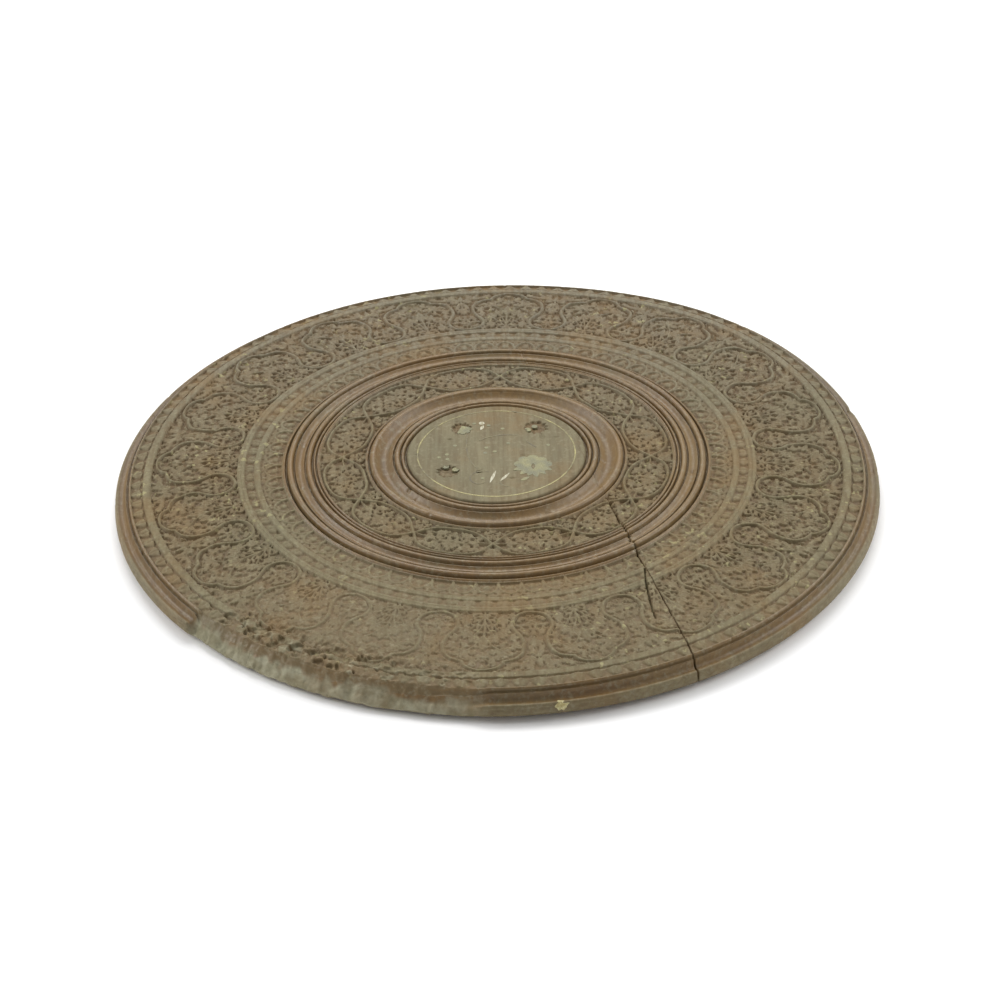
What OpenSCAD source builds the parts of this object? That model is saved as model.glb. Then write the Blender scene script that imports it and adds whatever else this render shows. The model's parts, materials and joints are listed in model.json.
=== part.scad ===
// Round carved tray disc of dark hardwood: two boards glued edge to edge, turned with a low crown and
// moulded rings, with a plain medallion at the centre inlaid with brass and bone.
// The origin is on the underside, on the turning axis, and +Z is up. The glue joint runs near to far.

/* [Disc] */
// Diameter over the rim
disc_d = 460; // [400:5:600]
// Thickness at the medallion
disc_t = 27; // [24:0.5:32]
// Thickness of the rolled edge at the rim
rim_t = 11; // [8:0.5:11]

/* [Turned rings] */
// Diameter of the flat medallion
medallion_d = 106; // [100:1:112]
// Radius of the fine beads
bead_r = 1.5; // [1:0.1:1.8]
// Radius of the fine grooves
groove_r = 1.2; // [0.8:0.1:1.4]

/* [Glue joint] */
// Distance from the axis to the glue joint
joint_x = 49; // [48.5:0.1:50]
// Angle between the glue joint and the Y axis
joint_lean = 15.6; // [10:0.1:20]
// Width of the open joint at the near rim
gap_w = 1.4; // [0.5:0.1:2.5]
// Distance along the joint, on the near side of the axis, at which it closes
gap_from = 75; // [60:1:90]

/* [Inlay] */
// Diameter of the inlaid wire ring, to the middle of the wire
wire_ring_d = 94.8; // [90:0.2:95]
// Width of the wire and of the stem strips
wire_w = 0.8; // [0.6:0.1:1.2]
// Thickness of the inlaid brass and bone
inlay_t = 1.2; // [0.8:0.1:2]
// Height of the inlay above the worn wood
proud = 0.1; // [0.05:0.05:0.2]
// Diameter of the brass dots
dot_d = 2.4; // [1.8:0.1:3]

/* [Hidden] */
$fn = 96;
disc_r = disc_d / 2;
over = 1;
// Crown of the upper face: radius as a share of the disc's, and height as a share of its thickness
CROWN = [
    [0, 1], [0.27, 0.96], [0.34, 0.93], [0.464, 0.905], [0.52, 0.9], [0.545, 0.87], [0.558, 0.82],
    [0.67, 0.81], [0.8, 0.755], [0.92, 0.68], [0.955, 0.62], [0.9675, 0.56]
];
// Where the fine beads and grooves run, as shares of the disc's radius
BEADS = [0.245, 0.259, 0.466, 0.487, 0.537, 0.555, 0.962];
GROOVES = [0.239, 0.268, 0.3315, 0.477, 0.5, 0.546, 0.952];
// The wide hollows: middle and depth below the crown, as shares of the disc's radius and of its thickness
HOLLOWS = [[0.292, 0.07], [0.513, 0.05]];
hollow_w = 0.042;
// Brass dots on the medallion
DOTS = [
    [-4.3, 31], [4.1, 26.9], [-13.1, 33.4], [-24.8, 9], [-29.7, -0.7], [-29.4, -5.8], [-34.5, -3.7],
    [-6, 6], [-6.7, 0.2], [-0.9, 1.4], [7.4, 10.4], [31.3, 7.4], [-8.5, -27.6]
];
// Stem strips let into the medallion, each a smooth curve through its own points
STEM_MAIN = [[-17.3, 20.6], [-17.9, 12], [-17.5, 2], [-15.6, -8.3], [-11.5, -17.3]];
STEM_ARC = [[-9.9, 14], [-4.8, 17.7], [4.8, 19.8], [13.1, 19.6]];
STEM_BRANCH = [[18.4, 12.4], [20.8, 8.8], [23.9, 5.3]];
STEM_SCROLL = [[-4.8, -20.6], [-11, -20.4], [-15.4, -24], [-15.4, -30], [-11.5, -33.6], [-7.4, -32]];
STEM_SPRIG = [[1.6, -33.2], [3.8, -35.8], [7.2, -37.4]];
// Vine leaf: middle of the whole one, radius of its body, and its lobes as angle, length, half-angle
// and whether the lobe is pointed
LEAF_AT = [21.4, -15.2];
leaf_body = 8;
LEAF_LOBES = [
    [200, 12.4, 17, true], [231, 12, 16, true], [257, 11.4, 15, true], [281, 13.2, 16, true],
    [309, 12.4, 16, true], [337, 12.8, 17, true], [10, 12, 20, false], [48, 11.4, 21, false],
    [88, 11.8, 22, false], [126, 12, 20, false], [164, 11.4, 21, false]
];
// The three damaged leaves: place, turn and scale of each pocket
FAR_LEFT = [[-20.6, 28.2], 150, 0.56];
FAR_RIGHT = [[24.4, 27.6], 60, 0.62];
NEAR_LEFT = [[-29, -19], 240, 0.56];
// Filler plug in the near rim: angle round the disc and diameter
filler_turn = 278;
filler_d = 7;
// Broken stretch of the rim: angle round the disc and depth of the loss at its top at each corner
BREAK = [[219, 0], [224, 5], [231, 7], [239, 9], [246, 8], [252, 9], [258, 7], [263, 5], [269, 0]];
// Height below which the broken rim has lost less, and the share that it has lost there
break_step_z = 4.5;
low_loss = 0.3;

// Height of the upper face at a radius given as a share of the disc's
function crown(share) = disc_t * lookup(share, CROWN);

// A point at a radius and an angle round the disc
function polar(radius, turn) = [radius * cos(turn), radius * sin(turn)];

// Half of the disc's cross-section, with its edge rolled
module disc_section() {
    roll_r = rim_t / 2;
    difference() {
        union() {
            polygon(concat(
                [[0, 0], [disc_r - roll_r, 0]],
                [[disc_r - roll_r, rim_t]],
                [for (i = [len(CROWN) - 1:-1:1]) [disc_r * CROWN[i][0], crown(CROWN[i][0])]],
                [[medallion_d / 2, disc_t], [0, disc_t]]
            ));
            translate([disc_r - roll_r, roll_r]) circle(roll_r);
            for (share = BEADS) translate([disc_r * share, crown(share) - bead_r / 2]) circle(bead_r);
        }
        for (share = GROOVES) translate([disc_r * share, crown(share)]) circle(groove_r);
        for (hollow = HOLLOWS) ring_hollow(hollow[0], disc_t * hollow[1]);
    }
}

// A wide hollow whose arc has the given depth below the crown
module ring_hollow(share, depth) {
    half_w = disc_r * hollow_w / 2;
    hollow_r = (half_w * half_w + depth * depth) / (2 * depth);
    translate([disc_r * share, crown(share) + hollow_r - depth]) circle(hollow_r);
}

module disc() {
    rotate_extrude($fn = 180) disc_section();
}

// Everything on the far side of the glue joint from the axis, less the wedge that has opened
module narrow_side(gap) {
    rotate(joint_lean)
        linear_extrude(disc_t * 2)
            polygon([
                [joint_x, disc_r], [joint_x, -gap_from], [joint_x + gap, -disc_r],
                [disc_r + over, -disc_r - over], [disc_r + over, disc_r + over]
            ]);
}

// The loss along the broken rim, above a height and as a share of its full depth
module rim_loss(from_z, share) {
    translate([0, 0, from_z])
        linear_extrude(disc_t)
            polygon(concat(
                [for (corner = BREAK) polar(disc_r - corner[1] * share, corner[0])],
                [for (i = [len(BREAK) - 1:-1:0]) polar(disc_r + 3 * over, BREAK[i][0])]
            ));
}

// A vertical column round the filler plug
module filler_column() {
    translate(concat(polar(disc_r - filler_d * 0.3, filler_turn), -over)) cylinder(h = disc_t, d = filler_d);
}

// An outline made into an inlay that stands a little proud of the medallion
module inlaid() {
    translate([0, 0, disc_t + proud - inlay_t]) linear_extrude(inlay_t) children();
}

// The pocket for an outline, open above the medallion
module pocket() {
    translate([0, 0, disc_t + proud - inlay_t]) linear_extrude(inlay_t + over) children();
}

// Angle between two directions
function turn_between(a, b) = abs((a - b + 540) % 360 - 180);

// How far a lobe reaches beyond the leaf's body in a direction
function lobe_reach(lobe, turn) =
    let (off = min(turn_between(turn, lobe[0]) / lobe[2], 1))
    (lobe[1] - leaf_body) * (lobe[3] ? 1 - off : sqrt(1 - off * off));

// A lobed vine leaf round the origin, with pointed lobes on one side and round ones on the other
module leaf_outline(step = 4) {
    polygon([
        for (turn = [0:step:360 - step])
            polar(leaf_body + max([for (lobe = LEAF_LOBES) lobe_reach(lobe, turn)]), turn)
    ]);
}

// The whole leaf in its place, with the eye at the head of its stem cut out
module whole_leaf_outline() {
    difference() {
        translate(LEAF_AT) leaf_outline();
        sliver_outline(LEAF_AT + [0.4, -4], LEAF_AT + [0.4, 2.6], 1.2);
    }
}

// The pocket outline of one damaged leaf
module small_leaf_outline(leaf) {
    translate(leaf[0]) rotate(leaf[1]) scale(leaf[2]) leaf_outline();
}

// Smooth curve through a list of points, with a few steps in each span
function smooth(points, steps = 5) = concat(
    [
        for (i = [0:len(points) - 2]) for (s = [0:steps - 1])
            let (a = points[max(i - 1, 0)], b = points[i])
            let (c = points[i + 1], d = points[min(i + 2, len(points) - 1)])
            let (t = s / steps)
            let (bend = 2 * a - 5 * b + 4 * c - d, twist = 3 * b - a - 3 * c + d)
            0.5 * (2 * b + (c - a) * t + bend * t * t + twist * t * t * t)
    ],
    [points[len(points) - 1]]
);

// Unit vector square to a curve at one of its points
function across(curve, i) =
    let (run = curve[min(i + 1, len(curve) - 1)] - curve[max(i - 1, 0)])
    [-run.y, run.x] / norm(run);

// A strip of even width along a smooth curve
module strip_outline(points) {
    curve = smooth(points);
    last = len(curve) - 1;
    polygon(concat(
        [for (i = [0:last]) curve[i] + across(curve, i) * wire_w / 2],
        [for (i = [last:-1:0]) curve[i] - across(curve, i) * wire_w / 2]
    ));
}

module ring_outline() {
    difference() {
        circle(d = wire_ring_d + wire_w);
        circle(d = wire_ring_d - wire_w);
    }
}

// A pointed sliver between two points, widest at its middle
module sliver_outline(from, to, half_w, steps = 8) {
    run = to - from;
    translate(from) rotate(atan2(run.y, run.x))
        polygon(concat(
            [for (i = [0:steps]) [norm(run) * i / steps, half_w * sin(180 * i / steps)]],
            [for (i = [steps - 1:-1:1]) [norm(run) * i / steps, -half_w * sin(180 * i / steps)]]
        ));
}

module leaf_tip_outline() { sliver_outline([19.4, -27.2], [13.9, -31.2], 1.3); }
module long_sliver_outline() { sliver_outline([-0.4, -19.4], [-4.4, -33], 0.9); }
module short_sliver_outline() { sliver_outline([7.6, -22.4], [1.6, -31.6], 0.9); }
module far_petal_outline() { translate([-8.5, 33.6]) circle(1.7); }
module near_petal_outline() { sliver_outline([-7.4, 31.2], [-9.2, 26], 1.1); }

// Every pocket in the medallion
module medallion_pockets() {
    ring_outline();
    whole_leaf_outline();
    small_leaf_outline(FAR_LEFT);
    small_leaf_outline(FAR_RIGHT);
    small_leaf_outline(NEAR_LEFT);
    for (points = [STEM_MAIN, STEM_ARC, STEM_BRANCH, STEM_SCROLL, STEM_SPRIG]) strip_outline(points);
    leaf_tip_outline();
    long_sliver_outline();
    short_sliver_outline();
    far_petal_outline();
    near_petal_outline();
    for (dot = DOTS) translate(dot) circle(d = dot_d);
}

module wide_board() {
    color("#6e604c") difference() {
        disc();
        narrow_side(0);
        rim_loss(-over, low_loss);
        rim_loss(break_step_z, 1);
        filler_column();
        pocket() medallion_pockets();
    }
}

module narrow_board() {
    color("#77694f") intersection() {
        disc();
        narrow_side(gap_w);
    }
}

module rim_filler() {
    color("#d5ce9f") intersection() {
        disc();
        filler_column();
    }
}

module wire_ring() { color("#a39a7b") inlaid() ring_outline(); }
module vine_leaf() { color("#928e72") inlaid() whole_leaf_outline(); }
module vine_leaf_tip() { color("#b0a560") inlaid() leaf_tip_outline(); }

module leaf_rest_far_left() {
    color("#928e72") inlaid() intersection() {
        small_leaf_outline(FAR_LEFT);
        translate([-18.4, 25.6]) rotate(-20) square([8, 9], center = true);
    }
}

// Two chips of brass left in the far right pocket
module leaf_rest_far_right() {
    color("#928e72") inlaid() intersection() {
        small_leaf_outline(FAR_RIGHT);
        union() {
            translate([23.6, 28.6]) circle(1.8);
            translate([19.4, 25]) circle(2);
        }
    }
}

// Two chips of brass left in the near left pocket
module leaf_rest_near_left() {
    color("#928e72") inlaid() intersection() {
        small_leaf_outline(NEAR_LEFT);
        union() {
            translate([-24.6, -17.4]) circle(2);
            translate([-30.4, -14.2]) circle(1.9);
        }
    }
}

module stem_main() { color("#9a9474") inlaid() strip_outline(STEM_MAIN); }
module stem_arc() { color("#9a9474") inlaid() strip_outline(STEM_ARC); }
module stem_branch() { color("#9a9474") inlaid() strip_outline(STEM_BRANCH); }
module stem_scroll() { color("#9a9474") inlaid() strip_outline(STEM_SCROLL); }
module stem_sprig() { color("#9a9474") inlaid() strip_outline(STEM_SPRIG); }
module bone_petal_far() { color("#cecbac") inlaid() far_petal_outline(); }
module bone_petal_near() { color("#cecbac") inlaid() near_petal_outline(); }
module bone_sliver_long() { color("#cecbac") inlaid() long_sliver_outline(); }
module bone_sliver_short() { color("#cecbac") inlaid() short_sliver_outline(); }

module brass_dot(at) {
    color("#b0a97c") inlaid() translate(at) circle(d = dot_d);
}

wide_board();
narrow_board();
rim_filler();
wire_ring();
vine_leaf();
vine_leaf_tip();
leaf_rest_far_left();
leaf_rest_far_right();
leaf_rest_near_left();
stem_main();
stem_arc();
stem_branch();
stem_scroll();
stem_sprig();
bone_petal_far();
bone_petal_near();
bone_sliver_long();
bone_sliver_short();
for (i = [1:len(DOTS)]) brass_dot(DOTS[i - 1]);
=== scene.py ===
import json
import math

import bmesh
import bpy
import numpy as np
from mathutils import Matrix, Vector


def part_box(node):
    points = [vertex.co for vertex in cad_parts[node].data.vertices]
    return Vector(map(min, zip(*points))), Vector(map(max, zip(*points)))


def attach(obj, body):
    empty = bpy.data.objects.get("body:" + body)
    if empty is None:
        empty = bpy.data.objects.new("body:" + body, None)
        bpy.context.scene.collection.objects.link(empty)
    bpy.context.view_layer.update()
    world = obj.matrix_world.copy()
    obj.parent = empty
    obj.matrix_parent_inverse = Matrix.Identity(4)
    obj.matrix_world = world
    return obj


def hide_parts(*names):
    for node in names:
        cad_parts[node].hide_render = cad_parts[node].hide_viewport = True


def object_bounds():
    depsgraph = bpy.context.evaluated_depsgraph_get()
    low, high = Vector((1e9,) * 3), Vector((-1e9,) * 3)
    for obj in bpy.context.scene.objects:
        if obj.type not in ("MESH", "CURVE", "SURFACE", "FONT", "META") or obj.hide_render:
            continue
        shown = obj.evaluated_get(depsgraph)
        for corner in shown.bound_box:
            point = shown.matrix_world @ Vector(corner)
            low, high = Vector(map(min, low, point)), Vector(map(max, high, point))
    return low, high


# A round carved tray disc of old hardwood, with brass and bone let into its plain medallion.
# Lengths are in millimetres until a mesh is made, radii along the top are shares of the disc's
# radius, and turns are degrees round the disc from +X. The near side is at 270 degrees.

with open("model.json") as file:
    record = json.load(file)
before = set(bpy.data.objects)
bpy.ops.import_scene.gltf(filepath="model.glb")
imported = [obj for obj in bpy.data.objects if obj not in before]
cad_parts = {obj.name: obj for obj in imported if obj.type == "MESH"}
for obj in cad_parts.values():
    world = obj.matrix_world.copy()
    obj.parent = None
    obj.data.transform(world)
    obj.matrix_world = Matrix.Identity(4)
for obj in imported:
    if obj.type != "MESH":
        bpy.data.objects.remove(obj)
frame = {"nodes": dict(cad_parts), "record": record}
cad_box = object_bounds()

MM = 0.001
DISC_R = (cad_box[1][0] - cad_box[0][0]) / 2 / MM
DISC_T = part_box("wide_board")[1].z / MM

# Crown of the upper face: radius, and height as a share of the thickness. It rests on the assumed lens
CROWN = (
    (0, 1), (0.27, 0.96), (0.34, 0.93), (0.464, 0.905), (0.52, 0.9), (0.545, 0.87), (0.558, 0.82),
    (0.67, 0.81), (0.8, 0.755), (0.92, 0.68), (0.955, 0.62), (0.9675, 0.56),
)
MEDALLION = 0.231

# Turned rings: middle, half-width and height or depth in millimetres
BEADS = (
    (0.2445, 0.0045, 0.9), (0.259, 0.0065, 1.2), (0.3225, 0.0085, 1.7), (0.4665, 0.003, 0.8),
    (0.4755, 0.003, 0.8), (0.490, 0.0065, 1.4), (0.539, 0.0075, 1.6), (0.5555, 0.0045, 1.0),
    (0.9585, 0.003, 0.6),
)
GROOVES = (
    (0.2375, 0.0034, 1.9), (0.2508, 0.0028, 1.7), (0.268, 0.0032, 1.9), (0.3335, 0.003, 1.9),
    (0.471, 0.0024, 1.3), (0.481, 0.0032, 1.7), (0.4995, 0.0032, 1.7), (0.529, 0.0032, 1.8),
    (0.5495, 0.0036, 2.2), (0.9645, 0.0038, 1.8),
)
HOLLOWS = ((0.2925, 0.0205, 3.0), (0.5135, 0.0115, 1.7))
# Stretches that were left plain from the lathe
LATHED = ((0.236, 0.341), (0.462, 0.5605), (0.957, 1.1))

# Carved bands: inner and outer edge, and depth of the ground in millimetres
INNER_BAND = (0.341, 0.462, 2.3)
SCALE_BAND = (0.5605, 0.6185, 1.4)
LOBE_BAND = (0.633, 0.659, 1.5)
WIDE_BAND = (0.677, 0.905, 2.4)
EDGE_BAND = (0.9235, 0.9565, 1.5)

# The glue joint and the wedge that has opened along it
JOINT_LEAN = math.radians(15.6)
JOINT_X = 49.0
GAP_W = 1.4
GAP_FROM = 75.0

# The near left stretch where the rim is broken
BREAK_FROM, BREAK_TO = 219.0, 269.0
# Rise at the far right, set to match the outline in view: middle and spread in degrees, and millimetres
WARP_AT, WARP_SPREAD, WARP_LIFT = 42.0, 27.0, 4.8


def noise(x, y, cell, seed):
    """Smooth noise between -1 and 1, in lumps about one cell across."""
    lattice = np.random.default_rng(seed).uniform(-1, 1, (256, 256))
    u, v = np.asarray(x) / cell + 1000, np.asarray(y) / cell + 1000
    i, j = np.floor(u).astype(int), np.floor(v).astype(int)
    s, t = u - i, v - j
    s, t = s * s * (3 - 2 * s), t * t * (3 - 2 * t)
    low = lattice[i % 256, j % 256] * (1 - s) + lattice[(i + 1) % 256, j % 256] * s
    high = lattice[i % 256, (j + 1) % 256] * (1 - s) + lattice[(i + 1) % 256, (j + 1) % 256] * s
    return low * (1 - t) + high * t


def step(low, high, value):
    """Smooth step from 0 at low to 1 at high."""
    t = np.clip((value - low) / (high - low), 0, 1)
    return t * t * (3 - 2 * t)


def dome(distance, radius):
    """A round bump of height 1."""
    return np.sqrt(np.clip(1 - (distance / radius) ** 2, 0, 1))


def ridge(distance, half_width):
    """A raised strap of height 1 with rounded shoulders."""
    return np.clip(1 - np.abs(distance / half_width) ** 3, 0, 1) ** 0.6


def crown(share):
    at, height = zip(*CROWN)
    return DISC_T * np.interp(share, at, height)


def grooves(share):
    """Depth of the turned grooves, in millimetres."""
    return sum(depth * dome(share - at, half_width) for at, half_width, depth in GROOVES)


def turned(share):
    """Rise of the turned rings over the crown, in millimetres."""
    rise = -grooves(share)
    for at, half_width, height in BEADS:
        rise += height * dome(share - at, half_width)
    for at, half_width, depth in HOLLOWS:
        rise -= depth * dome(share - at, half_width) ** 2
    inside = 1 - step(MEDALLION - 0.002, MEDALLION + 0.003, share)
    return np.where(share < MEDALLION + 0.003, inside * (DISC_T - crown(share)) + (1 - inside) * rise, rise)


def place(turn, share):
    """A point of a repeat's half: across its axis, and outward."""
    angle = math.radians(turn)
    return share * math.sin(angle), share * math.cos(angle)


def folded(share, turn, count, axis):
    """Where each point lies in its repeat, mirrored about the repeat's axis."""
    pitch = 360.0 / count
    off = np.radians(np.abs((turn - axis + pitch / 2) % pitch - pitch / 2))
    return share * np.sin(off), share * np.cos(off)


def smooth(points, steps=5):
    """A smooth curve through points given as turn and radius."""
    points = [np.array(place(*p)) for p in points]
    curve = []
    for i in range(len(points) - 1):
        a, b = points[max(i - 1, 0)], points[i]
        c, d = points[i + 1], points[min(i + 2, len(points) - 1)]
        for s in range(steps):
            t = s / steps
            bend, twist = 2 * a - 5 * b + 4 * c - d, 3 * b - a - 3 * c + d
            curve.append(0.5 * (2 * b + (c - a) * t + bend * t * t + twist * t ** 3))
    return curve + [points[-1]]


def path_distance(x, y, curve):
    best = np.full(x.shape, 9.0)
    for a, b in zip(curve, curve[1:]):
        run = b - a
        t = np.clip(((x - a[0]) * run[0] + (y - a[1]) * run[1]) / (run @ run), 0, 1)
        best = np.minimum(best, np.hypot(x - a[0] - t * run[0], y - a[1] - t * run[1]))
    return best


def leaf(x, y, at, aim, length, half_width):
    """A pointed leaf with a vein, aimed in degrees from outward."""
    base = place(*at)
    angle = math.radians(at[0] + aim)
    along = ((x - base[0]) * math.sin(angle) + (y - base[1]) * math.cos(angle)) / length
    across = (x - base[0]) * math.cos(angle) - (y - base[1]) * math.sin(angle)
    swell = np.sin(math.pi * np.clip(along, 0, 1) ** 0.75) ** 0.7
    side = np.abs(across) / (half_width * np.maximum(swell, 0.02))
    rise = np.sqrt(np.clip(1 - side ** 2, 0, 1)) * (along > 0) * (along < 1)
    return rise * (1 - 0.4 * np.exp(-((across / (0.22 * half_width)) ** 2)) * step(1.0, 0.6, along))


def spray(x, y, at, aim, size):
    """A leaf of three lobes."""
    size = 1.12 * size
    rise = 0.95 * leaf(x, y, at, aim, size, 0.36 * size)
    for side in (-1, 1):
        rise = np.maximum(rise, 0.9 * leaf(x, y, at, aim + side * 66, 0.76 * size, 0.31 * size))
    return rise


def tufts(x, y, seed):
    """Small lumps that fill a carved ground, the same in every repeat."""
    lumps = noise(x * DISC_R, y * DISC_R, 2.1, seed) + 0.5 * noise(x * DISC_R, y * DISC_R, 1.2, seed + 1)
    return 0.62 * step(-0.12, 0.35, lumps)


def rosette(x, y, at, radius, petals):
    """A flower of round petals with a ringed eye."""
    centre = place(*at)
    distance = np.hypot(x - centre[0], y - centre[1])
    swing = np.cos(petals * np.arctan2(x - centre[0], y - centre[1]))
    rise = 0.95 * dome(distance, radius * (0.84 + 0.16 * swing))
    rise *= 1 - 0.45 * step(0.2, -0.9, swing) * step(0.3, 0.5, distance / radius)
    return rise * (1 - 0.6 * np.exp(-(((distance / radius - 0.36) / 0.1) ** 2)))


# The strap of the wide band from its loop's foot to the cusp, and the ogee above the cusp
STRAP = smooth((
    (9, 0.6755), (8.1, 0.6765), (6.7, 0.684), (5.6, 0.700), (5.1, 0.720), (5.4, 0.740), (6.3, 0.758),
    (6.85, 0.775), (6.95, 0.795), (6.45, 0.819), (5.4, 0.838), (4.2, 0.847), (3.3, 0.851),
))
OGEE = smooth(((3.3, 0.851), (3.0, 0.864), (2.1, 0.878), (1.0, 0.886), (0, 0.888)))
STRAP_HALF = 0.0056
# Stems of the bush in the bell, and of the spear over the loop
BUSH = (
    smooth(((0, 0.668), (0.1, 0.72), (0, 0.775))),
    smooth(((0, 0.685), (1.2, 0.712), (2.9, 0.742))),
    smooth(((0, 0.700), (0.8, 0.735), (1.9, 0.760))),
    smooth(((0, 0.755), (1.5, 0.792), (3.3, 0.812))),
    smooth(((0.3, 0.677), (1.6, 0.690), (2.8, 0.703))),
)
SPEAR = smooth(((9, 0.768), (9, 0.82), (9, 0.872)))
STEM_HALF = 0.0026
# Sprays of the wide band: place, aim and size
WIDE_SPRAYS = (
    ((0, 0.772), 0, 0.031), ((3.0, 0.744), 38, 0.024), ((1.95, 0.759), 12, 0.025), ((3.4, 0.812), 55, 0.024),
    ((5.2, 0.792), 60, 0.020), ((4.9, 0.765), 75, 0.018), ((2.9, 0.704), 85, 0.023),
    ((4.7, 0.690), 40, 0.015), ((4.4, 0.728), 70, 0.017), ((1.5, 0.700), 40, 0.012), ((6.2, 0.862), 5, 0.023),
    ((5.0, 0.868), -60, 0.014), ((2.2, 0.838), 120, 0.014), ((9, 0.738), 0, 0.016),
    ((7.7, 0.703), -150, 0.011), ((7.2, 0.736), -60, 0.010),
    ((7.9, 0.846), -40, 0.018), ((1.9, 0.806), -5, 0.016), ((5.9, 0.681), -60, 0.012),
)
# Leaves of the spear, in pairs that hang outward
SPEAR_LEAVES = (
    ((9, 0.862), 150, 0.036, 0.0075), ((9, 0.832), 148, 0.032, 0.0075), ((9, 0.802), 145, 0.022, 0.006),
)
# Strands of the inner band, which cross between its ovals
STRAND_OUT = smooth(((15, 0.403), (13.4, 0.417), (11.2, 0.435), (8, 0.4475), (4, 0.453), (0, 0.454)))
STRAND_IN = smooth(((15, 0.403), (13, 0.388), (10.4, 0.371), (7, 0.3575), (3.5, 0.3515), (0, 0.350)))
STRAND_HALF = 0.0047
TENDRIL = smooth(((15, 0.403), (10, 0.400), (5, 0.408), (0, 0.403)))
INNER_SPRAYS = (
    ((9.6, 0.402), -88, 0.024), ((6.3, 0.424), -70, 0.023), ((6.3, 0.381), -110, 0.022),
    ((0, 0.424), 0, 0.018),
    ((0, 0.381), 180, 0.018), ((2.6, 0.437), 60, 0.014), ((2.6, 0.368), 120, 0.013), ((15, 0.424), 0, 0.025),
    ((15, 0.382), 180, 0.022), ((12.3, 0.446), 80, 0.015), ((11.8, 0.358), 100, 0.014),
    ((10.4, 0.424), -30, 0.014), ((10.6, 0.385), -150, 0.013),
)


# Radii at which the wide band's pattern was drawn, and where the same points lie on the disc
DRAWN_RADII = (0.668, 0.700, 0.740, 0.775, 0.819, 0.851, 0.888, 0.905)
DISC_RADII = (0.677, 0.707, 0.748, 0.787, 0.838, 0.866, 0.896, 0.905)


def wide_motif(share, turn):
    x, y = folded(np.interp(share, DISC_RADII, DRAWN_RADII), turn, 20, 87)
    strap = np.minimum(path_distance(x, y, STRAP), path_distance(x, y, OGEE))
    rise = np.maximum(ridge(strap, STRAP_HALF), tufts(x, y, 71) * step(1.3, 1.7, strap / STRAP_HALF))
    for stem in BUSH + (SPEAR,):
        rise = np.maximum(rise, 0.8 * ridge(path_distance(x, y, stem), STEM_HALF))
    for spray_at, aim, size in WIDE_SPRAYS:
        rise = np.maximum(rise, 0.85 * spray(x, y, spray_at, aim, size))
    for leaf_at, aim, length, half_width in SPEAR_LEAVES:
        rise = np.maximum(rise, 0.85 * leaf(x, y, leaf_at, -aim, length, half_width))
    rise = np.maximum(rise, 0.95 * leaf(x, y, (9, 0.848), 0, 0.036, 0.008))
    rise = np.maximum(rise, 0.9 * rosette(x, y, (0, 0.832), 0.0215, 8))
    return np.maximum(rise, 0.9 * rosette(x, y, (9, 0.7145), 0.017, 6))


def inner_motif(share, turn):
    x, y = folded(share, turn, 12, 73)
    strands = np.minimum(path_distance(x, y, STRAND_OUT), path_distance(x, y, STRAND_IN))
    rise = tufts(x, y, 75) * step(1.3, 1.7, strands / STRAND_HALF)
    rise = np.maximum(rise, 0.75 * ridge(path_distance(x, y, TENDRIL), STEM_HALF))
    for spray_at, aim, size in INNER_SPRAYS:
        rise = np.maximum(rise, 0.85 * spray(x, y, spray_at, aim, size))
    rise = np.maximum(rise, 0.9 * rosette(x, y, (0, 0.4025), 0.0185, 7))
    return np.maximum(rise, ridge(strands, STRAND_HALF))


def scale_motif(share, turn):
    """Small arches round beads, with a leaf between each two."""
    x, y = folded(share, turn, 64, 87)
    arch = smooth(((2.81, 0.562), (2.35, 0.586), (1.25, 0.600), (0, 0.606)))
    bead_x, bead_y = place(0, 0.581)
    bead = 0.95 * dome(np.hypot(x - bead_x, y - bead_y), 0.0115)
    rise = np.maximum(0.9 * ridge(path_distance(x, y, arch), 0.0042), bead)
    rise = np.maximum(rise, 0.8 * tufts(x, y, 79))
    return np.maximum(rise, 0.9 * spray(x, y, (2.81, 0.594), 0, 0.017))


def lobe_motif(share, turn):
    """A row of round lobes with wedge gaps on their outer side."""
    x, y = folded(share, turn, 96, 87)
    return 0.95 * dome(np.hypot(x, (y - 0.645) * 1.35), 0.0185) * (1 - 0.35 * np.exp(-((x / 0.0028) ** 2)))


def edge_motif(share, turn):
    """A row of short leaves that point outward."""
    x, y = folded(share, turn, 128, 87)
    swell = np.clip((0.956 - y) / 0.028, 0, 1) ** 0.5 * step(0.926, 0.932, y)
    rise = np.sqrt(np.clip(1 - (x / (0.0245 * np.maximum(swell, 0.02))) ** 2, 0, 1)) * (y < 0.955)
    return 0.95 * rise * (1 - 0.3 * np.exp(-((x / 0.003) ** 2)))


CARVED = (
    (INNER_BAND, inner_motif), (SCALE_BAND, scale_motif), (LOBE_BAND, lobe_motif), (WIDE_BAND, wide_motif),
    (EDGE_BAND, edge_motif),
)


def near_left(x, y):
    """How far the wear of the near left has reached, from 0 to 1."""
    return np.clip(step(115, 20, np.hypot(x + 95, y + 165)) + 0.25 * noise(x, y, 22, 5), 0, 1)


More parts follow.
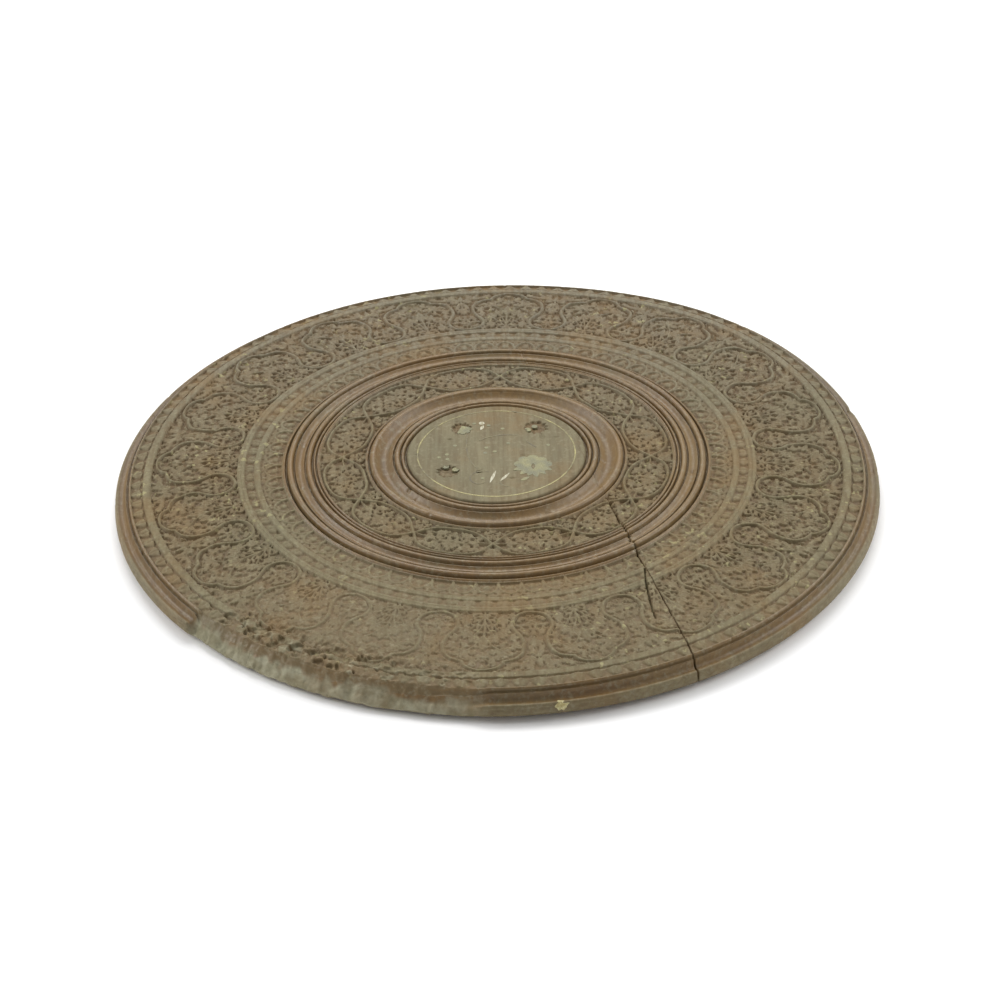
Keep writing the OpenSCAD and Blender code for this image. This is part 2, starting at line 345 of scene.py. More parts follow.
def relief(share, turn, x, y):
    """Depth below the plain surface in millimetres, and the height over the ground as a share."""
    depth, height = np.zeros_like(share), np.ones_like(share)
    wander = 0.0016
    warped_share = share + wander * noise(x, y, 9, 11) + 0.4 * wander * noise(x, y, 3.5, 12)
    warped_turn = turn + np.degrees(wander * noise(x, y, 9, 13) + 0.4 * wander * noise(x, y, 3.5, 14)) / share
    for (low, high, band_depth), motif in CARVED:
        inside = (share > low) & (share < high)
        if not inside.any():
            continue
        rise = motif(warped_share[inside], warped_turn[inside])
        xi, yi = x[inside], y[inside]
        rise *= 1 + 0.12 * noise(xi, yi, 7, 21)
        worn = near_left(xi, yi)
        rise = rise * (1 - 0.3 * worn * (0.6 + 0.4 * noise(xi, yi, 5, 22)))
        ground = 0.08 * noise(xi, yi, 2.2, 23) + 0.05 * noise(xi, yi, 1.1, 24)
        rise = np.clip(np.maximum(rise, 0.06 + ground), 0, 1.08)
        edge = np.minimum(share[inside] - low, high - share[inside])
        rise = np.maximum(rise, step(0.0022, 0.0, edge))
        height[inside] = rise
        rubbed = 0.4 * step(-70, -190, yi)
        depth[inside] = band_depth * (1 - rise) * (1 - 0.25 * worn) * (1 - rubbed)
    return depth, height


def joint_place(x, y):
    """Distance to the right of the glue joint, and along it towards the far side."""
    across = x * math.cos(JOINT_LEAN) + y * math.sin(JOINT_LEAN) - JOINT_X
    along = -x * math.sin(JOINT_LEAN) + y * math.cos(JOINT_LEAN)
    return across, along


# The split in the wide board beside the joint, as points in millimetres
SPLIT = tuple(np.array(p) for p in ((83, -117), (83, -131), (84.2, -144), (85.3, -154), (86.6, -163)))


def wear(share, x, y):
    """Loss of height in millimetres to knocks, splits and rubbing."""
    across, along = joint_place(x, y)
    near_part = step(-40, -75, along)
    chipped = np.clip(0.5 + noise(x, y, 6, 31), 0, 1)
    loss = near_part * chipped * 0.35 * step(1.8, 0, np.abs(across + 0.4))
    dark_stretch = step(-60, -72, along) * step(-140, -118, along)
    loss += dark_stretch * 1.5 * dome(across + 0.5 * noise(x, y, 7, 32), 0.6)
    split = path_distance(x, y, SPLIT)
    loss += 4.0 * dome(split, 0.55 + 0.25 * noise(x, y, 5, 33))
    loss += 0.05 * noise(x, y, 30, 34) + 0.03 * noise(x, y, 8, 35)
    pits = np.clip(noise(x, y, 4, 36) * noise(x, y, 9, 37) - 0.42, 0, 1)
    loss += 2.2 * pits
    worn = near_left(x, y) * step(0.86, 0.9, share)
    gone = step(0.0, 0.5, noise(x, y, 4.5, 38) + 0.5 * noise(x, y, 2.2, 39)) * step(0.955, 0.945, share)
    return loss + worn * (0.3 + 2.2 * gone) + worn * 0.4 * noise(x, y, 1.6, 40)


# Pockets of the lost leaves, as in the CAD part: place, turn and scale, in millimetres
LOST_LEAVES = (((-20.6, 28.2), 150, 0.56), ((24.4, 27.6), 60, 0.62), ((-29.0, -19.0), 240, 0.56))
LEAF_BODY = 8.0
LEAF_LOBES = (
    (200, 12.4, 17, True), (231, 12, 16, True), (257, 11.4, 15, True), (281, 13.2, 16, True),
    (309, 12.4, 16, True), (337, 12.8, 17, True), (10, 12, 20, False), (48, 11.4, 21, False),
    (88, 11.8, 22, False), (126, 12, 20, False), (164, 11.4, 21, False),
)


def leaf_reach(angle):
    """Radius of the leaf's outline in a direction."""
    reach = np.zeros_like(angle)
    for aim, length, half_angle, pointed in LEAF_LOBES:
        off = np.minimum(np.abs((angle - aim + 540) % 360 - 180) / half_angle, 1)
        shape = 1 - off if pointed else np.sqrt(1 - off ** 2)
        reach = np.maximum(reach, (length - LEAF_BODY) * shape)
    return LEAF_BODY + reach


def pockets(x, y):
    """Depth of the empty pockets of the lost leaves, in millimetres."""
    depth = np.zeros_like(x)
    for (px, py), spin, scale in LOST_LEAVES:
        angle = np.degrees(np.arctan2(y - py, x - px)) - spin
        inside = scale * leaf_reach(angle % 360) - np.hypot(x - px, y - py)
        rough = 0.35 * noise(x, y, 1.6, 51) + 0.25 * noise(x, y, 4, 52)
        depth = np.maximum(depth, (1.25 + rough) * step(-0.25, 0.35, inside))
    return depth


def plane_place(share, turn):
    return share * DISC_R * np.cos(np.radians(turn)), share * DISC_R * np.sin(np.radians(turn))


def broken(turn):
    """How much of the rim's edge is lost at a turn, from 0 to 1."""
    ends = step(BREAK_FROM, BREAK_FROM + 1.6, turn) * step(BREAK_TO, BREAK_TO - 5, turn)
    lumps = 0.9 + 0.2 * noise(turn, 0 * turn, 4.5, 61) + 0.1 * noise(turn, 0 * turn, 1.3, 62)
    return np.clip(ends * lumps, 0, 1)


def splinters(x, y):
    """Roughness of the broken face, in millimetres."""
    return 0.9 * noise(x, y, 6, 63) + 0.6 * noise(x, y, 2.4, 64) + 0.25 * noise(x, y, 1.0, 65)


def break_height(share, x, y):
    """Height of the face that the break left, in millimetres."""
    return 14.5 - 12.0 * (share - 0.957) / 0.033 + splinters(x, y)


def warp(share, turn):
    """How far the far right is raised to match the outline in view, in millimetres."""
    off = (turn - WARP_AT + 180) % 360 - 180
    return WARP_LIFT * step(0.3, 1.0, share) * np.exp(-((off / WARP_SPREAD) ** 2))


def top_surface(share, turn):
    """Height of the worn and carved upper face in millimetres, and its attributes."""
    x, y = plane_place(share, turn)
    depth, height = relief(share, turn, x, y)
    z = crown(share) + turned(share) - depth - wear(share, x, y)
    # The grooves lower the height share, which gives them the darker ground colour: painted shade in the
    # grooves.
    height = height - 0.8 * np.clip(grooves(share) / 1.4, 0, 1)
    across, along = joint_place(x, y)
    height = height - 0.7 * step(0.7, 0.2, np.abs(across)) * step(-8, -25, along)
    if share.min() < MEDALLION:
        hole = pockets(x, y)
        z -= hole
        # The empty pockets take the darker ground colour too: dirt and painted shade.
        height = height - 0.8 * step(0.3, 0.9, hole)
    loss = np.zeros_like(z)
    if share.max() > 0.95:
        over = np.clip(z - break_height(share, x, y), 0, 20)
        loss = broken(turn)
        z = z - loss * over
        height = height - 0.75 * loss * step(0.2, 1.2, over)
        loss = loss * step(0.2, 1.2, over) * step(12.5, 8.5, z + 3 * noise(x, y, 4, 73))
    if share.max() > 0.9:
        bruised = step(0.1, 0.6, noise(x, y, 4, 71) + 0.5 * noise(x, y, 1.8, 72)) * step(0.9, 0.93, share)
        loss = np.maximum(loss, 0.7 * bruised * near_left(x, y) * step(0.4, 0.7, height))
        height = height - 0.7 * near_left(x, y) * step(0.86, 0.9, share) * step(-0.2, 0.3, noise(x, y, 9, 74))
    lathed = np.zeros_like(z)
    for low, high in LATHED:
        lathed += step(low - 0.001, low + 0.001, share) * step(high + 0.001, high - 0.001, share)
    carved = (1 - lathed) * step(0.234, 0.238, share)
    return z + warp(share, turn), {"relief": height, "lathed": lathed, "carved": carved, "loss": loss}


# Half section of the rim below its last groove, whole and broken: radius, and height in millimetres
RIM_EDGE = (
    (0.9685, 15.1), (0.9695, 13.6), (0.9712, 12.0), (0.9735, 10.9), (0.9765, 10.3), (0.981, 10.1),
    (0.986, 10.4), (0.9905, 10.9), (0.9935, 11.0), (0.996, 10.5), (0.9977, 9.7), (0.9982, 9.1), (0.9974, 8.6),
    (0.9978, 8.1), (0.9994, 7.3), (1.0, 6.3), (0.9995, 5.1), (0.997, 4.0), (0.991, 2.9), (0.982, 1.5),
    (0.974, 0.4), (0.9705, 0.0),
)
BROKEN_EDGE = (
    (0.9685, 10.3), (0.973, 8.9), (0.977, 7.0), (0.982, 5.4), (0.986, 4.5), (0.9885, 3.7), (0.987, 2.8),
    (0.981, 1.5), (0.974, 0.4), (0.9705, 0.0),
)
ZONES = (
    # name, inner and outer radius, rings across, points round, pieces round the wide board
    ("medallion", 0.0, 0.235, 112, 720, 1),
    ("inner_rings", 0.235, 0.339, 96, 540, 1),
    ("inner_band", 0.339, 0.464, 62, 1320, 2),
    ("middle_rings", 0.464, 0.559, 96, 540, 1),
    ("scale_band", 0.559, 0.668, 56, 1792, 2),
    ("wide_band", 0.668, 0.907, 108, 2400, 5),
    ("edge_band", 0.907, 0.9685, 44, 2560, 2),
)
RIM_FROM = 0.9685


def resample(points, count):
    """Points at even steps along a line of points given as radius and height."""
    points = np.array([(share * DISC_R, z) for share, z in points])
    length = np.concatenate([[0], np.cumsum(np.hypot(*np.diff(points, axis=0).T))])
    at = np.linspace(0, length[-1], count)
    return np.interp(at, length, points[:, 0])[:, None] / DISC_R, np.interp(at, length, points[:, 1])[:, None]


def zone_section(low, high, rings, turns):
    """Radius, height and attributes over the upper face of one zone."""
    share = np.repeat(np.linspace(low, high, rings)[:, None], len(turns), 1)
    turn = np.repeat(turns[None, :], rings, 0)
    z, attributes = top_surface(share, turn)
    return share, z, attributes


# Chips in the far edge of the rim: turn, half-width in degrees, and depth as a share of the radius
FAR_CHIPS = ((108.5, 1.0, 0.003), (86.5, 0.7, 0.002))


def rim_section(turns):
    """The same for the rim, whose section ends at the underside."""
    whole, z_whole = resample(RIM_EDGE, 52)
    worn, z_worn = resample(BROKEN_EDGE, 52)
    lost = broken(turns)[None, :]
    share = whole + lost * (worn - whole)
    z = z_whole + lost * (z_worn - z_whole)
    turn = np.repeat(turns[None, :], len(share), 0)
    x, y = plane_place(share, turn)
    z = z + lost * splinters(x, y) * step(0.6, 2.5, z)
    for at, half_width, depth in FAR_CHIPS:
        off = np.abs(turn - at) + 0.25 * noise(x, y, 2.5, 67)
        bite = step(half_width, 0.6 * half_width, off) * step(2, 4, z)
        share = share - depth * bite * step(0.985, 0.995, share)
        z = z - 0.5 * bite * step(0.975, 0.99, share)
    dents = np.clip(noise(turn * 4, z, 7, 66) - 0.55, 0, 1) * step(3, 8, z)
    attributes = {
        # Dents lower the height share, so they take the darker ground colour: dirt and painted shade.
        "relief": 1 - 0.5 * dents,
        "lathed": 0.25 + 0.75 * step(0.993, 0.988, share),
        "carved": np.zeros_like(z),
        "loss": np.repeat(lost, len(z), 0) * step(0.5, 1.5, z) * step(12.5, 8.5, z + 3 * noise(x, y, 4, 73)),
    }
    z = z + warp(share, turn) * np.clip(z / 8, 0, 1)
    return share - 0.006 * dents * step(0.985, 0.99, share), z - 0.8 * dents, attributes


def swept(name, share, z, attributes, turns):
    """A solid of the given section swept round, open at its ends unless it goes all the way."""
    rings, count = share.shape
    closed = abs(turns[-1] - turns[0]) > 359.0
    outer, inner = share[-1], share[0]
    feet = [outer, inner] if z[-1].max() > 0.5 else [inner]
    share = np.concatenate([share] + [foot[None] for foot in feet])
    z = np.concatenate([z, np.zeros((len(feet), count))])
    total = len(share)
    angle = np.radians(turns)[None, :]
    radius = share * DISC_R
    verts = np.stack([radius * np.cos(angle), radius * np.sin(angle), z], -1).reshape(-1, 3) * MM
    last = count if closed else count - 1
    i, j = np.meshgrid(np.arange(total), np.arange(last), indexing="ij")
    i2, j2 = (i + 1) % total, (j + 1) % count
    faces = np.stack([i * count + j, i2 * count + j, i2 * count + j2, i * count + j2], -1).reshape(-1, 4)
    mesh = bpy.data.meshes.new(name)
    mesh.vertices.add(len(verts))
    mesh.vertices.foreach_set("co", verts.ravel())
    mesh.loops.add(len(faces) * 4)
    mesh.loops.foreach_set("vertex_index", faces.ravel().astype(np.int32))
    mesh.polygons.add(len(faces))
    mesh.polygons.foreach_set("loop_start", np.arange(0, len(faces) * 4, 4, dtype=np.int32))
    plain_wood = {"relief": 1.0, "lathed": 1.0, "carved": 0.0, "loss": 0.0}
    for label, values in attributes.items():
        values = np.concatenate([values, np.full((len(feet), count), plain_wood[label])])
        layer = mesh.attributes.new(label, "FLOAT", "POINT")
        layer.data.foreach_set("value", values.ravel().astype(np.float32))
    mesh.update(calc_edges=True)
    mesh.validate()
    return mesh


def cut(mesh, planes):
    """Keeps what is behind each plane, closes the cuts and turns every face outward."""
    work = bmesh.new()
    work.from_mesh(mesh)
    bmesh.ops.remove_doubles(work, verts=work.verts, dist=1e-7)
    for point, normal in planes:
        geom = work.verts[:] + work.edges[:] + work.faces[:]
        made = bmesh.ops.bisect_plane(
            work, geom=geom, plane_co=point, plane_no=normal, clear_outer=True, dist=1e-8
        )
        edges = [e for e in made["geom_cut"] if isinstance(e, bmesh.types.BMEdge) and e.is_boundary]
        bmesh.ops.holes_fill(work, edges=edges)
    open_edges = [e for e in work.edges if e.is_boundary]
    if open_edges:
        bmesh.ops.holes_fill(work, edges=open_edges)
    bmesh.ops.recalc_face_normals(work, faces=work.faces)
    big = [f for f in work.faces if len(f.verts) > 4]
    bmesh.ops.triangulate(work, faces=big)
    work.to_mesh(mesh)
    work.free()


def joint_turns(share):
    """Turns at which the glue joint crosses a radius, on the far and the near side."""
    swing = math.degrees(math.acos(JOINT_X / (share * DISC_R)))
    lean = math.degrees(JOINT_LEAN)
    return lean + swing, lean - swing + 360


def board_planes(board):
    """Planes that bound a board: a point on each in metres, and the normal away from the board."""
    across = Vector((math.cos(JOINT_LEAN), math.sin(JOINT_LEAN), 0))
    along = Vector((-math.sin(JOINT_LEAN), math.cos(JOINT_LEAN), 0))
    if board == "wide_board":
        return [(across * JOINT_X * MM, across)]
    hinge = across * JOINT_X - along * GAP_FROM
    foot = across * (JOINT_X + GAP_W) - along * DISC_R
    run = (hinge - foot).normalized()
    return [(across * JOINT_X * MM, -across), (hinge * MM, -Vector((run.y, -run.x, 0)))]


# Degrees by which each piece runs past the glue joint before it is cut there
MARGIN = 4.0
# The narrow board is given this share of the wide board's pieces, and the rim its own points and pieces
NARROW_SHARE = 0.55
RIM_POINTS, RIM_PIECES = 2560, 3


def sectors(board, low, high, points, pieces):
    """Stretches of turns that cover a board's part of a zone, each an array of turns."""
    spacing = 360.0 / points
    if low * DISC_R < JOINT_X + 1:
        return [np.arange(points) * spacing]
    far = [joint_turns(s)[0] for s in (low, high)]
    near = [joint_turns(s)[1] for s in (low, high)]
    if board == "wide_board":
        start, end = min(far) - MARGIN, max(near) + MARGIN
    else:
        start, end = min(near) - MARGIN - 360, max(far) + MARGIN
        pieces = max(1, round(pieces * NARROW_SHARE))
    first, last = math.floor(start / spacing), math.ceil(end / spacing)
    ends = np.linspace(first, last, pieces + 1).astype(int)
    return [np.arange(a, b + 1) * spacing for a, b in zip(ends, ends[1:])]


def add_piece(mesh, board, finish):
    piece = bpy.data.objects.new(mesh.name, mesh)
    bpy.context.scene.collection.objects.link(piece)
    mesh.materials.append(finish)
    mesh.polygons.foreach_set("use_smooth", np.ones(len(mesh.polygons), bool))
    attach(piece, "root")
    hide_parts(board)


def make_boards(finish):
    for board in ("wide_board", "narrow_board"):
        for name, low, high, rings, points, pieces in ZONES:
            if board == "narrow_board" and high * DISC_R < JOINT_X:
                continue
            for n, turns in enumerate(sectors(board, low, high, points, pieces)):
                share, z, attributes = zone_section(low, high, rings, turns % 360)
                mesh = swept(f"{board}.{name}_{n + 1}", share, z, attributes, turns)
                cut(mesh, board_planes(board))
                add_piece(mesh, board, finish)
        for n, turns in enumerate(sectors(board, RIM_FROM, 1.0, RIM_POINTS, RIM_PIECES)):
            share, z, attributes = rim_section(turns % 360)
            mesh = swept(f"{board}.rim_{n + 1}", share, z, attributes, turns)
            cut(mesh, board_planes(board))
            add_piece(mesh, board, finish)


class Nodes:
    """Short ways to build a material's nodes."""

    def __init__(self, name):
        self.material = bpy.data.materials.new(name)
        self.material.use_nodes = True
        self.tree = self.material.node_tree
        self.shader = self.tree.nodes["Principled BSDF"]
        self.place = self.new("ShaderNodeTexCoord").outputs["Object"]

    def new(self, kind, **settings):
        node = self.tree.nodes.new(kind)
        for key, value in settings.items():
            setattr(node, key, value)
        return node

    def join(self, source, target):
        if isinstance(source, bpy.types.NodeSocket):
            self.tree.links.new(source, target)
        else:
            target.default_value = source

    def stretched(self, scale, spin=0.0):
        node = self.new("ShaderNodeMapping")
        node.inputs["Scale"].default_value = scale
        node.inputs["Rotation"].default_value = (0, 0, spin)
        self.join(self.place, node.inputs["Vector"])
        return node.outputs["Vector"]

    def noise(self, scale, detail=4.0, rough=0.55, vector=None):
        node = self.new("ShaderNodeTexNoise")
        node.inputs["Scale"].default_value = scale
        node.inputs["Detail"].default_value = detail
        node.inputs["Roughness"].default_value = rough
        self.join(vector or self.place, node.inputs["Vector"])
        return node.outputs["Fac"]

    def ramp(self, value, low, high, to_low=0.0, to_high=1.0):
        node = self.new("ShaderNodeMapRange")
        for label, number in (("From Min", low), ("From Max", high), ("To Min", to_low), ("To Max", to_high)):
            node.inputs[label].default_value = number
        self.join(value, node.inputs["Value"])
        return node.outputs["Result"]

    def math(self, kind, a, b=0.0):
        node = self.new("ShaderNodeMath", operation=kind)
        self.join(a, node.inputs[0])
        self.join(b, node.inputs[1])
        return node.outputs[0]

    def mix(self, amount, a, b):
        node = self.new("ShaderNodeMix", data_type="RGBA")
        self.join(amount, node.inputs["Factor"])
        self.join(a, node.inputs[6])
        self.join(b, node.inputs[7])
        return node.outputs[2]

    def along_y(self):
        node = self.new("ShaderNodeSeparateXYZ")
        self.join(self.place, node.inputs[0])
        return node.outputs["Y"]

    def attribute(self, name):
        return self.new("ShaderNodeAttribute", attribute_name=name).outputs["Fac"]

    def bump(self, height, distance, strength=1.0):
        node = self.new("ShaderNodeBump")
        node.inputs["Strength"].default_value = strength
        node.inputs["Distance"].default_value = distance
        self.join(height, node.inputs["Height"])
        self.join(node.outputs["Normal"], self.shader.inputs["Normal"])


def srgb(red, green, blue):
    """A colour given as it looks, from 0 to 255, as the shader's linear colour."""
    def linear(value):
        value /= 255
        return value / 12.92 if value < 0.04045 else ((value + 0.055) / 1.055) ** 2.4
    return linear(red), linear(green), linear(blue), 1.0


def wood_finish():
    """Old dry hardwood: browner and smoother where lathed, with dirt and painted shade in the ground of the
    carving and in the grooves, a painted sheen on the far carving and painted glints on the carving.
    """
    n = Nodes("old_hardwood")
    grain = n.noise(1.0, 5.0, 0.6, n.stretched((420, 26, 420), -JOINT_LEAN * 0.5))
    broad = n.noise(1.0, 3.0, 0.5, n.stretched((75, 9, 75), -JOINT_LEAN * 0.5))
    cloud = n.noise(14.0, 4.0, 0.6)
    dust = n.noise(300.0, 4.0, 0.6)
    fleck = n.noise(210.0, 2.0, 0.5)
    recess_dirt_and_shade = n.attribute("relief")
    lathed = n.attribute("lathed")
    near = n.ramp(n.along_y(), -0.02, -0.17)
    far = n.ramp(n.along_y(), -0.02, 0.16)
    plain = n.mix(n.ramp(broad, 0.35, 0.65), srgb(103, 94, 65), srgb(117, 108, 78))
    carved = n.mix(n.ramp(broad, 0.35, 0.65), srgb(106, 97, 64), srgb(120, 111, 78))
    # Towards the far side the carving is painted greyer: a painted sheen of the light from behind.
    carved = n.mix(n.math("MULTIPLY", far, 0.7), carved, srgb(116, 111, 96))
    brown = n.mix(n.ramp(cloud, 0.35, 0.65), srgb(110, 84, 47), srgb(121, 98, 60))
    carving = n.attribute("carved")
    wood = n.mix(carving, plain, carved)
    wood = n.mix(lathed, wood, brown)
    wood = n.mix(n.ramp(grain, 0.42, 0.68, 0.0, 0.5), wood, srgb(86, 70, 49))
    # The ground of the carving and the grooves take a darker colour: partly dirt, partly painted shade in the
    # recesses.
    ground = n.mix(n.ramp(dust, 0.35, 0.65), srgb(90, 70, 41), srgb(108, 88, 56))
    ground = n.mix(n.math("MULTIPLY", near, 0.55), ground, srgb(114, 98, 66))
    colour = n.mix(n.ramp(recess_dirt_and_shade, 0.1, 0.95), ground, wood)
    grime = n.ramp(n.noise(430.0, 5.0, 0.7), 0.4, 0.6)
    colour = n.mix(n.math("MULTIPLY", grime, n.math("MULTIPLY", carving, 0.45)), colour, srgb(92, 73, 44))
    colour = n.mix(n.ramp(dust, 0.52, 0.68, 0.0, 0.45), colour, srgb(140, 132, 108))
    # Small pale spots on the carving: painted glints.
    glint_spots = n.math("MULTIPLY", n.ramp(fleck, 0.64, 0.70), n.ramp(cloud, 0.42, 0.6))
    glint_spots = n.math("MULTIPLY", glint_spots, n.math("MULTIPLY", carving, 0.6))
    colour = n.mix(glint_spots, colour, srgb(160, 154, 108))
    raw = n.mix(n.ramp(n.noise(150.0, 4.0, 0.6), 0.38, 0.62), srgb(128, 122, 96), srgb(156, 152, 128))
    colour = n.mix(n.attribute("loss"), colour, raw)
    # Clouds of orange and of olive, as old oil leaves them
    stain = n.noise(22.0, 5.0, 0.65)
    colour = n.mix(n.ramp(stain, 0.5, 0.66, 0.0, 0.42), colour, srgb(118, 90, 46))
    colour = n.mix(n.ramp(stain, 0.48, 0.34, 0.0, 0.34), colour, srgb(104, 100, 74))
    n.join(colour, n.shader.inputs["Base Color"])
    matt = n.ramp(n.math("ADD", grain, dust), 0.7, 1.3, 0.6, 0.85)
    sheen = n.ramp(n.math("ADD", grain, cloud), 0.7, 1.3, 0.36, 0.52)
    rough = n.new("ShaderNodeMix", data_type="FLOAT")
    n.join(lathed, rough.inputs["Factor"])
    n.join(matt, rough.inputs[2])
    n.join(sheen, rough.inputs[3])
    dry = n.new("ShaderNodeMix", data_type="FLOAT")
    n.join(n.attribute("loss"), dry.inputs["Factor"])
    n.join(rough.outputs[0], dry.inputs[2])
    dry.inputs[3].default_value = 0.85
    n.join(dry.outputs[0], n.shader.inputs["Roughness"])
    n.bump(n.math("ADD", n.math("MULTIPLY", grain, 0.7), n.math("MULTIPLY", dust, 0.4)), 0.0002)
    return n.material


def brass_finish(name, bright, dull, shine):
    """Dull brass with green-grey tarnish, and a painted highlight towards the near side by the share shine.
    """
    n = Nodes(name)
    cloud = n.noise(160.0, 4.0, 0.6)
    fine = n.noise(1400.0, 3.0, 0.6)
    # Rubbed clouds of brighter brass, and towards the near side a painted highlight whose strength is shine.
    rubbed = n.math("ADD", n.ramp(cloud, 0.35, 0.65), n.ramp(n.along_y(), -0.034, -0.024, -shine, 0.0))
    colour = n.mix(n.math("MAXIMUM", rubbed, 0.0), bright, dull)
    colour = n.mix(n.ramp(fine, 0.5, 0.7, 0.0, 0.45), colour, srgb(88, 86, 64))
    n.join(colour, n.shader.inputs["Base Color"])
    n.join(n.ramp(cloud, 0.35, 0.7, 0.5, 0.05), n.shader.inputs["Metallic"])
    n.join(n.ramp(fine, 0.3, 0.7, 0.42, 0.68), n.shader.inputs["Roughness"])
    n.bump(fine, 0.00006)
    return n.material


def bone_finish():
    n = Nodes("aged_bone")
    streak = n.noise(1.0, 4.0, 0.6, n.stretched((900, 150, 900)))
    colour = n.mix(n.ramp(streak, 0.4, 0.65), srgb(190, 187, 164), srgb(150, 142, 114))
    n.join(colour, n.shader.inputs["Base Color"])
    n.join(n.ramp(streak, 0.3, 0.7, 0.4, 0.6), n.shader.inputs["Roughness"])
    n.bump(streak, 0.00005)
    return n.material


def filler_finish():
    n = Nodes("pale_filler")
    lumps = n.noise(600.0, 4.0, 0.6)
    colour = n.mix(n.ramp(lumps, 0.4, 0.62), srgb(198, 191, 146), srgb(158, 144, 94))
    n.join(colour, n.shader.inputs["Base Color"])
    n.join(n.ramp(lumps, 0.3, 0.7, 0.6, 0.85), n.shader.inputs["Roughness"])
    n.bump(lumps, 0.0004)
    return n.material


def finish_inlay():
    """Gives every inlaid CAD node its finish."""
    leaf_brass = brass_finish("tarnished_brass", srgb(136, 132, 98), srgb(112, 110, 86), 0.0)
    wire_brass = brass_finish("dull_wire", srgb(160, 152, 106), srgb(104, 96, 70), 0.7)
    stem_brass = brass_finish("dark_wire", srgb(120, 112, 84), srgb(92, 84, 64), 0.0)
    finishes = {"brass": leaf_brass, "bone": bone_finish()}
    slots = {part["node"]: part["material_slot"] for part in frame["record"]["subparts"]}
    for name, node in frame["nodes"].items():
        if slots[name] not in finishes:
            continue
        finish = finishes[slots[name]]
        if name == "wire_ring":
            finish = wire_brass
        if name.startswith("stem"):
            finish = stem_brass
        node.data.materials.clear()
        node.data.materials.append(finish)


# The blob of filler on the rim: turn, radius, height and half-sizes in millimetres
FILLER_TURN = 278.0
FILLER_AT = (0.995, 8.8)
FILLER_SIZE = (3.4, 1.3, 2.9)


def make_filler(finish):
    """A lumpy blob pressed on the rim, drawn out to a small tail on its right."""
    work = bmesh.new()
    bmesh.ops.create_icosphere(work, subdivisions=5, radius=1.0)
    turn = math.radians(FILLER_TURN)
    out = np.array((math.cos(turn), math.sin(turn), 0.45))
    out /= np.linalg.norm(out)
    along = np.array((-math.sin(turn), math.cos(turn), 0))
    up = np.cross(out, along)
    radius = FILLER_AT[0] * DISC_R
    centre = np.array((math.cos(turn) * radius, math.sin(turn) * radius, FILLER_AT[1]))
    shape = np.array([v.co for v in work.verts])
    side, rise = shape[:, 0], shape[:, 2]
    reach = 1 + 0.22 * noise(side, rise, 0.5, 81) + 0.12 * noise(side + 3, rise, 0.22, 82)
    tail = np.exp(-((shape[:, 2] - 0.25) / 0.22) ** 2) * np.clip(shape[:, 0], 0, 1) ** 3
    reach += 0.9 * tail
    local = shape * reach[:, None] * np.array(FILLER_SIZE)
    spot = centre + local[:, :1] * along + local[:, 1:2] * out + local[:, 2:] * up
    for vert, at in zip(work.verts, spot * MM):
        vert.co = at
    bmesh.ops.recalc_face_normals(work, faces=work.faces)
    mesh = bpy.data.meshes.new("filler_blob")
    work.to_mesh(mesh)
    work.free()
    mesh.polygons.foreach_set("use_smooth", np.ones(len(mesh.polygons), bool))
    mesh.materials.append(finish)
    blob = bpy.data.objects.new("filler_blob", mesh)
    bpy.context.scene.collection.objects.link(blob)
    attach(blob, "root")
    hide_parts("rim_filler")


def make_floor():
    mesh = bpy.data.meshes.new("floor")
    reach, low = 3.0, -0.0002
    corners = [(-reach, -reach, low), (reach, -reach, low), (reach, reach, low), (-reach, reach, low)]
    mesh.from_pydata(corners, [], [(0, 1, 2, 3)])
    floor = bpy.data.objects.new("floor", mesh)
    bpy.context.scene.collection.objects.link(floor)
    n = Nodes("pale_floor")
    n.shader.inputs["Base Color"].default_value = srgb(250, 250, 250)
    n.shader.inputs["Roughness"].default_value = 0.9
    mesh.materials.append(n.material)


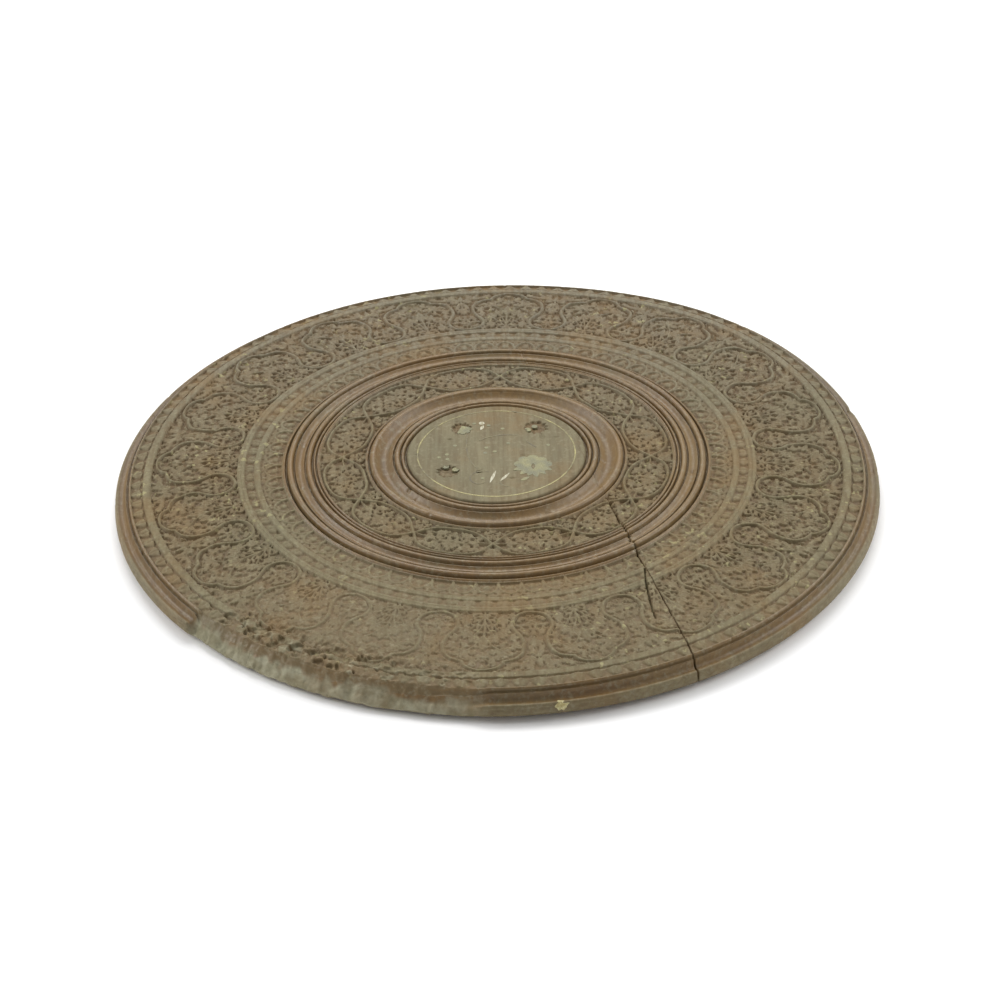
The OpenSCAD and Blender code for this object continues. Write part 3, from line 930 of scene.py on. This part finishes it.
def add_light(name, place_at, size, power):
    light = bpy.data.lights.new(name, "AREA")
    light.shape = "RECTANGLE"
    light.size, light.size_y = size
    light.energy = power
    lamp = bpy.data.objects.new(name, light)
    bpy.context.scene.collection.objects.link(lamp)
    lamp.location = place_at
    lamp.rotation_euler = (Vector((0, 0, 0)) - Vector(place_at)).to_track_quat("-Z", "Y").to_euler()


def light_room():
    world = bpy.data.worlds.new("room")
    bpy.context.scene.world = world
    world.use_nodes = True
    world.node_tree.nodes["Background"].inputs["Color"].default_value = (1.0, 1.0, 1.0, 1.0)
    world.node_tree.nodes["Background"].inputs["Strength"].default_value = 0.42
    add_light("left_panel", (-1.7, 0.3, 1.0), (1.2, 1.2), 23)
    add_light("right_panel", (1.7, 0.3, 1.0), (1.2, 1.2), 23)
    add_light("back_panel", (0.0, 1.4, 1.9), (2.0, 1.4), 40)


def aim_camera():
    """Looks down at the disc from the near side, turned a little so that its left end hangs lower.

    The focal length is assumed. The photograph does not settle it.
    """
    elevation, roll = math.radians(33.07), math.radians(-1.37)
    focal_px, frame_px = 3100.0, 1000.0
    distance = 8.13 * DISC_R * MM
    target = Vector((0, 0, 13.0 * MM))
    forward = Vector((0, math.cos(elevation), -math.sin(elevation)))
    right = Vector((1, 0, 0))
    up = right.cross(forward)
    turn_back = Matrix.Rotation(-roll, 3, forward)
    right, up = turn_back @ right, turn_back @ up
    # The disc's axis stands a little left of the frame's middle and above it
    left_by, above_by = 3.2 / focal_px, 27.7 / focal_px
    look = (forward + right * left_by - up * above_by).normalized()
    right = look.cross(up).normalized()
    up = right.cross(look)
    camera = bpy.data.cameras.new("camera")
    camera.sensor_width = 36.0
    camera.lens = focal_px * camera.sensor_width / frame_px
    rig = bpy.data.objects.new("camera", camera)
    bpy.context.scene.collection.objects.link(rig)
    basis = Matrix((right, up, -look)).transposed().to_4x4()
    rig.matrix_world = Matrix.Translation(target - forward * distance) @ basis
    bpy.context.scene.camera = rig
    bpy.context.scene.view_settings.view_transform = "Standard"


aim_camera()
light_room()
make_floor()
finish_inlay()
make_filler(filler_finish())
make_boards(wood_finish())


def plain(box):
    return [[float(value) for value in corner] for corner in box]
